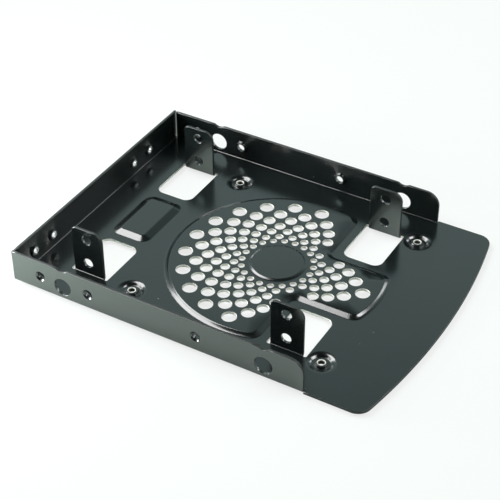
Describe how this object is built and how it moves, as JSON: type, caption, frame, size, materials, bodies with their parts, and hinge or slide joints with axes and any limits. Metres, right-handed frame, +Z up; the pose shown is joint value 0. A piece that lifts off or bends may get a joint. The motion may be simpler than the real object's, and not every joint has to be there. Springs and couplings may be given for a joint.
{
  "type": "drive bay adapter bracket",
  "caption": "Folded sheet-metal tray with a raised, perforated vent disc, upturned side and rear walls and screw tabs that hold a small drive in a larger drive bay.",
  "frame": {"origin": "centre of the vent and of the square of dimple screws, in the plane of the flat base's underside", "axes": "+X along the bay towards the bowed front edge, +Y across the bay, +Z up, the way the walls and tabs are folded"},
  "size_m": [0.1371, 0.1016, 0.0199],
  "materials": {
    "coated_steel": "satin"
  },
  "bodies": {
    "root": {"bay_bracket": "coated_steel"}
  },
  "joints": []
}
